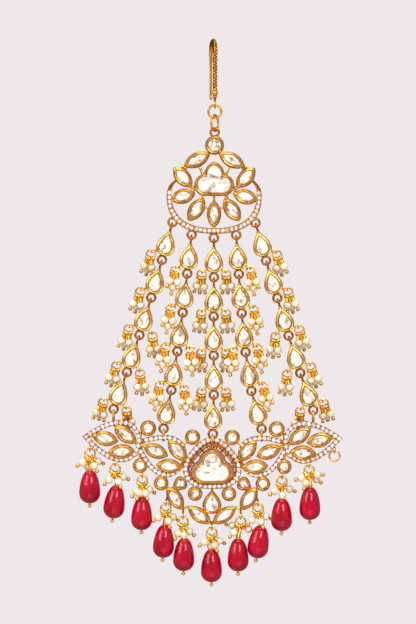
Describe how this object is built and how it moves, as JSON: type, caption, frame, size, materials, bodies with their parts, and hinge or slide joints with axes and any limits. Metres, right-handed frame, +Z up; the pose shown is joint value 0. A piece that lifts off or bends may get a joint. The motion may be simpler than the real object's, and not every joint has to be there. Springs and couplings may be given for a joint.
{
  "type": "jewelled headpiece",
  "caption": "Hanging side headpiece: a hair hook carries a stone-set medallion, strands of pear settings with pearls, and a winged base plate fringed with red drops.",
  "frame": {"origin": "the seat: the inside of the hook's top bend, where the headpiece hangs", "axes": "+Z up, +X to the right of someone who looks at the front, front faces -Y"},
  "size_m": [0.0834, 0.0109, 0.1713],
  "materials": {
    "gold": "gold plated, satin",
    "antique_gold": "antique gold plated, worn",
    "clear_stone": "foil-backed cut glass",
    "pearl": "pearl lustre",
    "red_bead": "glossy"
  },
  "bodies": {
    "hook": {"hair_hook": "gold"},
    "link": {"top_ring": "antique_gold"},
    "pendant": {"drop_ring": "antique_gold", "medallion_frame": "gold", "medallion_round_stone": "clear_stone", "medallion_cloud_stone": "clear_stone", "medallion_petal_stones": "clear_stone", "strand_1_settings": "antique_gold", "strand_2_settings": "antique_gold", "strand_3_settings": "antique_gold", "strand_4_settings": "antique_gold", "strand_5_settings": "antique_gold", "strand_1_stones": "clear_stone", "strand_2_stones": "clear_stone", "strand_3_stones": "clear_stone", "strand_4_stones": "clear_stone", "strand_5_stones": "clear_stone", "strand_1_cluster_wires": "gold", "strand_2_cluster_wires": "gold", "strand_3_cluster_wires": "gold", "strand_4_cluster_wires": "gold", "strand_5_cluster_wires": "gold", "strand_1_pearls": "pearl", "strand_2_pearls": "pearl", "strand_3_pearls": "pearl", "strand_4_pearls": "pearl", "strand_5_pearls": "pearl", "base_frame": "gold", "base_cloud_stone": "clear_stone", "base_pear_stones": "clear_stone", "base_leaf_stones": "clear_stone", "base_fan_stones": "clear_stone", "base_round_stones": "clear_stone", "base_side_ring": "gold", "drop_wires": "gold", "drop_pearls": "pearl", "drop_bead_1": "red_bead", "drop_bead_2": "red_bead", "drop_bead_3": "red_bead", "drop_bead_4": "red_bead", "drop_bead_5": "red_bead", "drop_bead_6": "red_bead", "drop_bead_7": "red_bead", "drop_bead_8": "red_bead", "drop_bead_9": "red_bead", "drop_bead_10": "red_bead"}
  },
  "joints": [
    {"name": "ring_swing", "type": "hinge", "parent": "hook", "child": "link", "pos_m": [0.00067, -0.00313, -0.01951], "axis": [1, 0, 0], "range_deg": [-60, 60]},
    {"name": "pendant_swing", "type": "hinge", "parent": "link", "child": "pendant", "pos_m": [0.00067, -0.00313, -0.02269], "axis": [0, 1, 0], "range_deg": [-60, 60]}
  ]
}
